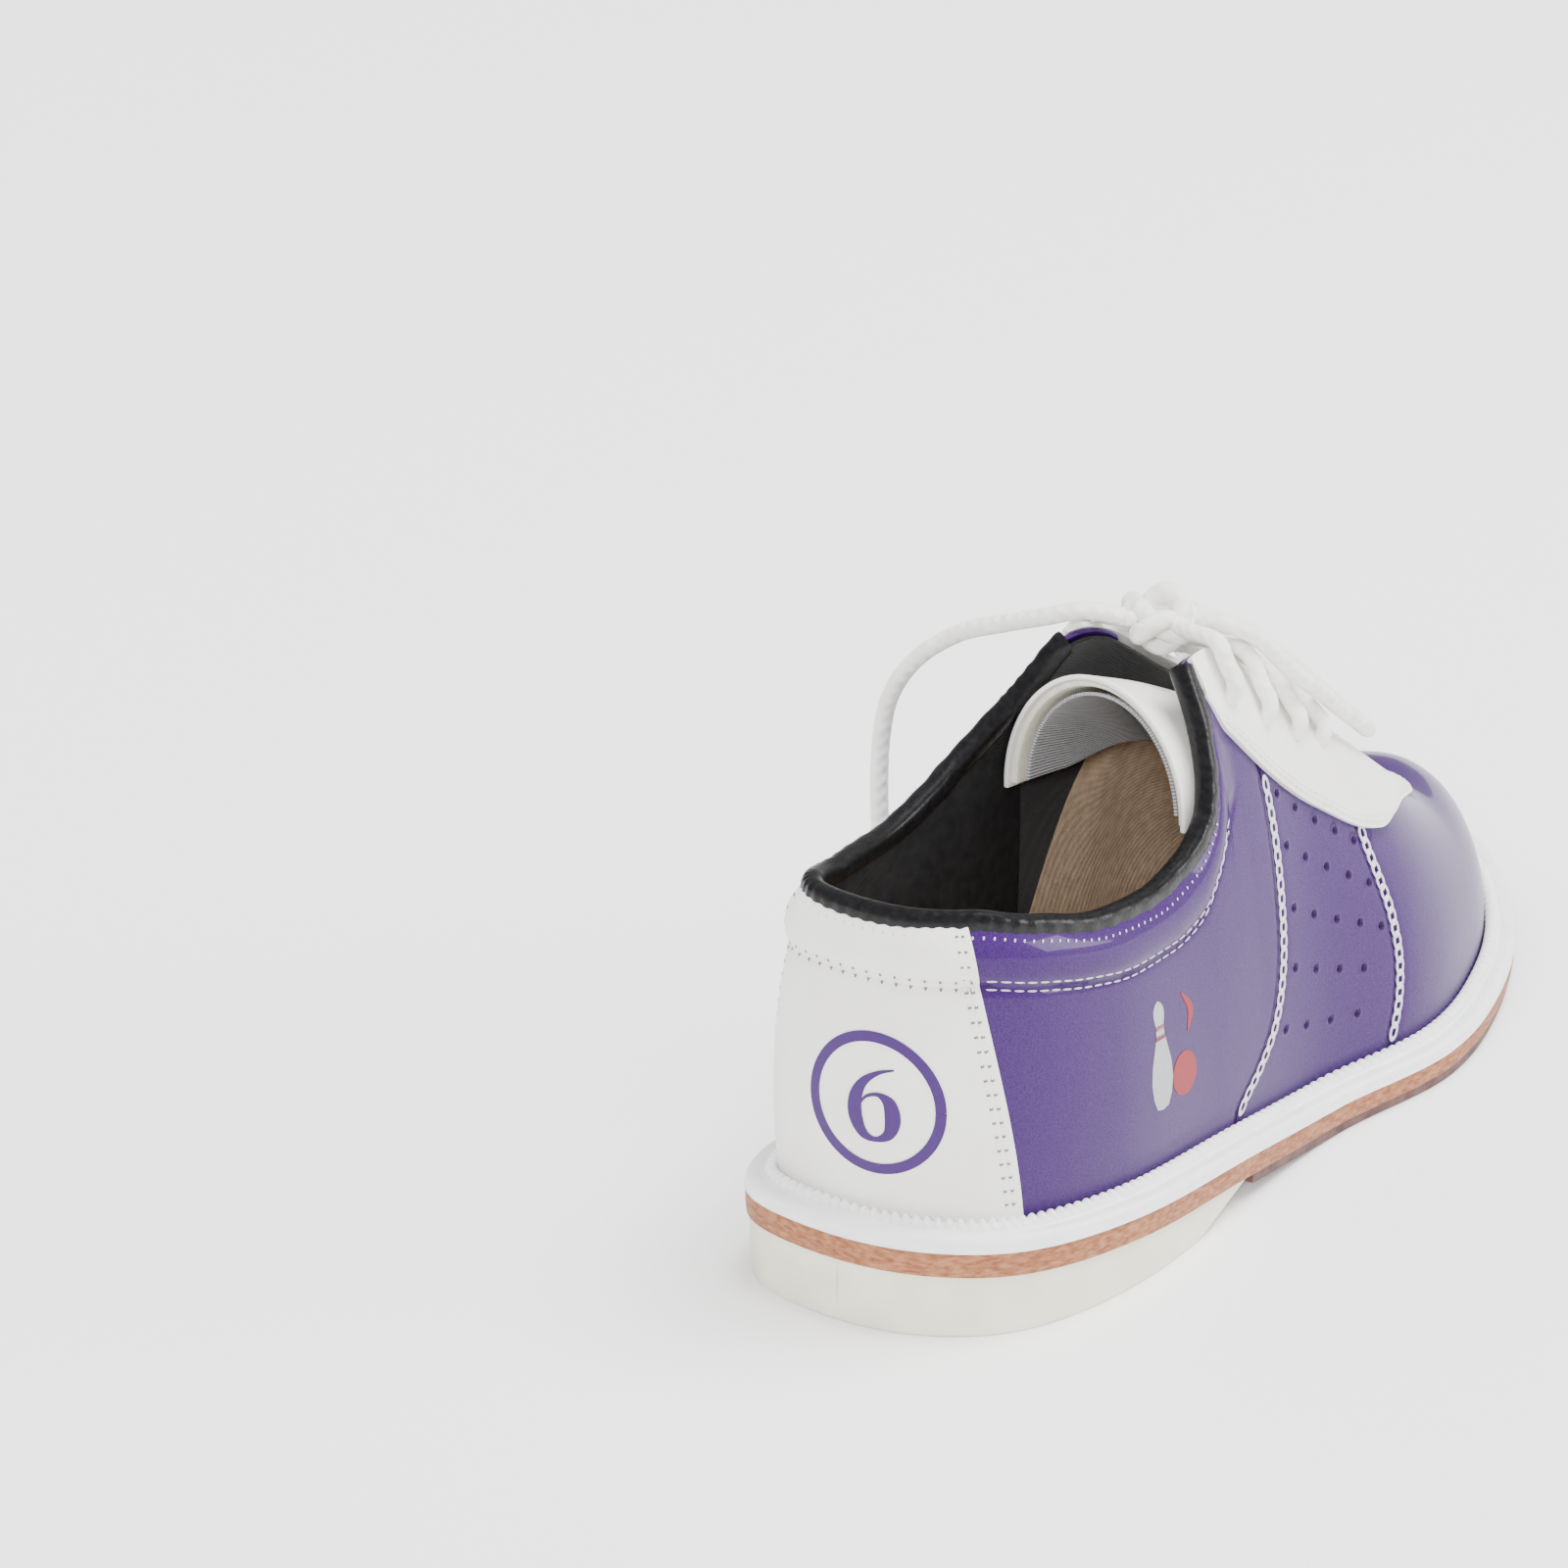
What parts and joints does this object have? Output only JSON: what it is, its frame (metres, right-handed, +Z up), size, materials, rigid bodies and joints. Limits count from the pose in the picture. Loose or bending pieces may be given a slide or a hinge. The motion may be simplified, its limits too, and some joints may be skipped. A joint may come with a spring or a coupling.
{
  "type": "bowling shoe",
  "caption": "Low lace-up bowling shoe for the right foot with a welted sole, heel block, panelled glossy upper, padded tongue that hinges at its root and a tied lace.",
  "frame": {"origin": "centre of the shoe's footprint on the floor, measured without the free lace", "axes": "+Y from the heel towards the toe, +X towards the outer side of the right foot, +Z up"},
  "size_m": [0.1236, 0.2715, 0.1265],
  "materials": {
    "cream_rubber": "matt moulded crepe rubber, cream",
    "dark_sole": "dark brown buffed sliding leather",
    "tan_leather": "tan compressed leather, speckled cut edge",
    "white_rubber": "white moulded welt, satin, brushed edge paint",
    "insole": "brown insole board with a fine nap",
    "cork": "pressed cork",
    "spring_steel": "plain rolled steel",
    "white_leather": "smooth white corrected leather, fine grain",
    "purple_leather": "glossy pearl violet coated leather",
    "black_binding": "soft black binding, fine grain",
    "foam": "open cell foam",
    "fibreboard": "pressed fibre stiffener",
    "black_lining": "black knitted lining",
    "canvas_lining": "brown woven drill lining, black at the facings",
    "grey_lining": "grey ribbed knit",
    "thread": "heavy sewing thread, pale",
    "lace_cotton": "white braided round lace",
    "clear_plastic": "milky plastic film tip",
    "ink": "printed violet ink",
    "emblem_grey": "printed light grey ink",
    "emblem_red": "printed red ink"
  },
  "bodies": {
    "root": {"heel_block": "cream_rubber", "slide_sole": "dark_sole", "midsole": "tan_leather", "welt": "white_rubber", "insole_board": "insole", "cork_filler": "cork", "shank": "spring_steel", "heel_panel": "white_leather", "quarter_lateral": "purple_leather", "quarter_medial": "purple_leather", "side_panel_lateral": "purple_leather", "side_panel_medial": "purple_leather", "vamp": "purple_leather", "lace_apron": "white_leather", "topline_binding": "black_binding", "collar_foam": "foam", "heel_counter": "fibreboard", "toe_puff": "fibreboard", "quarter_lining": "black_lining", "vamp_lining": "canvas_lining", "rear_chain_stitch": "thread", "front_chain_stitch": "thread", "collar_stitch": "thread", "heel_seam_stitch": "thread", "lace_crossings": "lace_cotton", "lace_knot": "lace_cotton", "lace_loop_lateral": "lace_cotton", "lace_loop_medial": "lace_cotton", "lace_end_rear": "lace_cotton", "lace_end_front": "lace_cotton", "aglet_rear": "clear_plastic", "aglet_front": "clear_plastic"},
    "tongue": {"tongue_cover": "white_leather", "tongue_foam": "foam", "tongue_lining": "grey_lining"}
  },
  "joints": [
    {"name": "tongue_hinge", "type": "hinge", "parent": "root", "child": "tongue", "pos_m": [0.0015, 0.04225, 0.07], "axis": [1, 0, 0], "range_deg": [0, 10], "stiffness_Nm_per_rad": 0.4}
  ]
}
